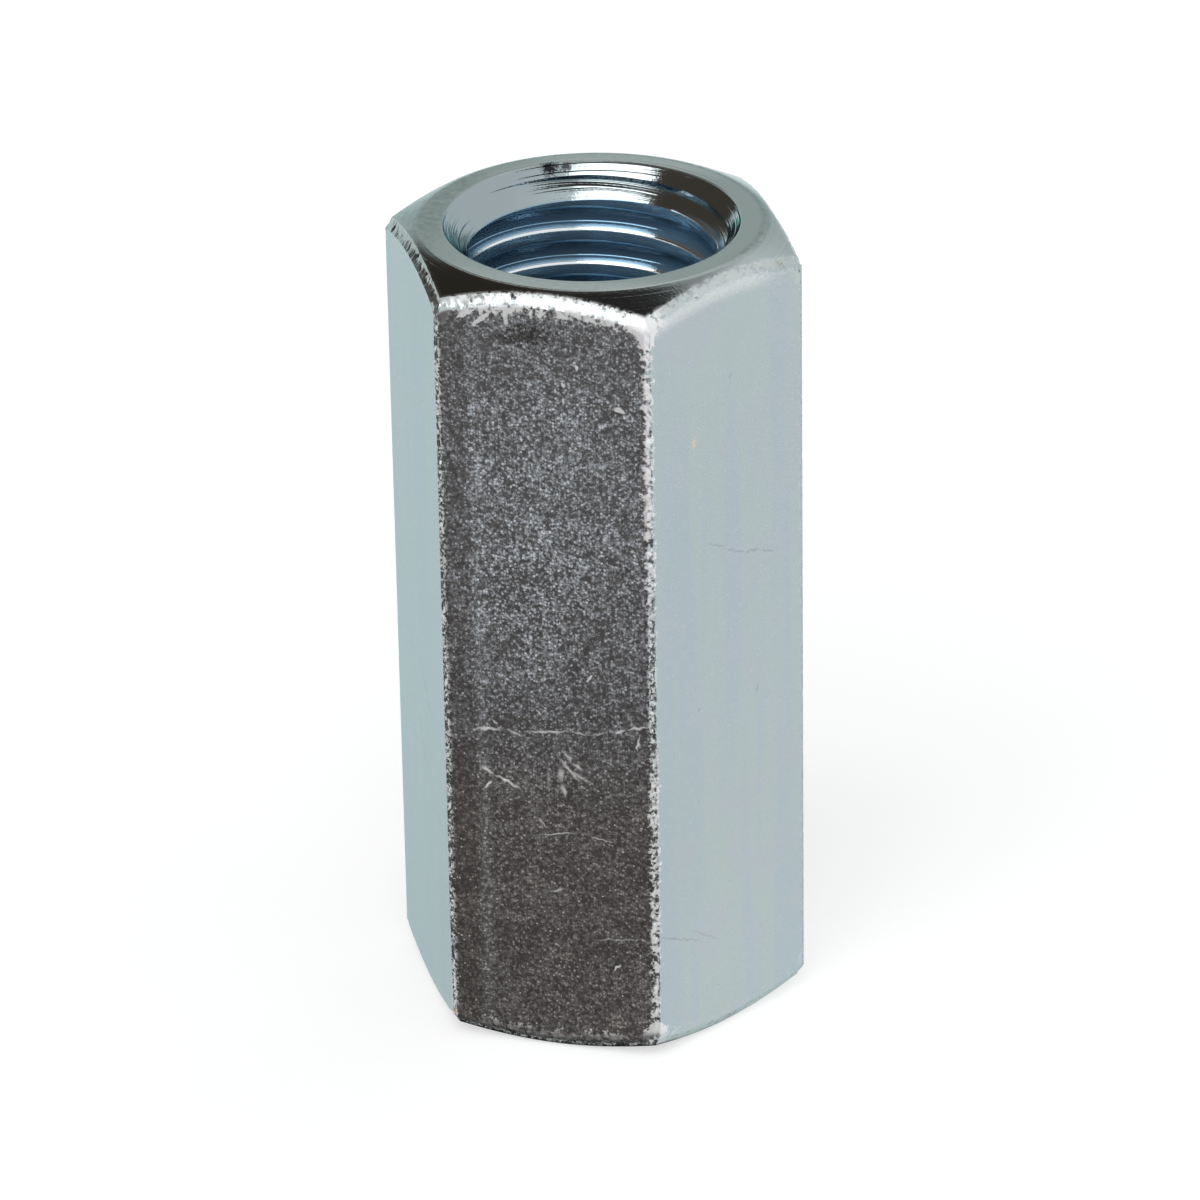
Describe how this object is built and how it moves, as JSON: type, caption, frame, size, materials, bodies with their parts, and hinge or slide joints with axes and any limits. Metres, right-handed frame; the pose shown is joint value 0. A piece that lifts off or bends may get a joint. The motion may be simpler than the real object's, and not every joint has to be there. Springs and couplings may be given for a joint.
{
  "type": "coupling nut",
  "caption": "Long hexagon coupling nut, zinc plated, chamfered at both ends and tapped right through with a coarse right-hand thread to join threaded rods end to end.",
  "frame": {"origin": "centre of the foot face, on the thread's axis", "axes": "+Z along the thread's axis, from the foot face to the top face; two of the flats face -Y and +Y, and two of the long edges lie on the X axis"},
  "size_m": [0.0292, 0.0254, 0.0571],
  "materials": {
    "zinc_plate": "bright zinc plate on steel, worn along the edges"
  },
  "bodies": {
    "root": {"nut_body": "zinc_plate"}
  },
  "joints": []
}
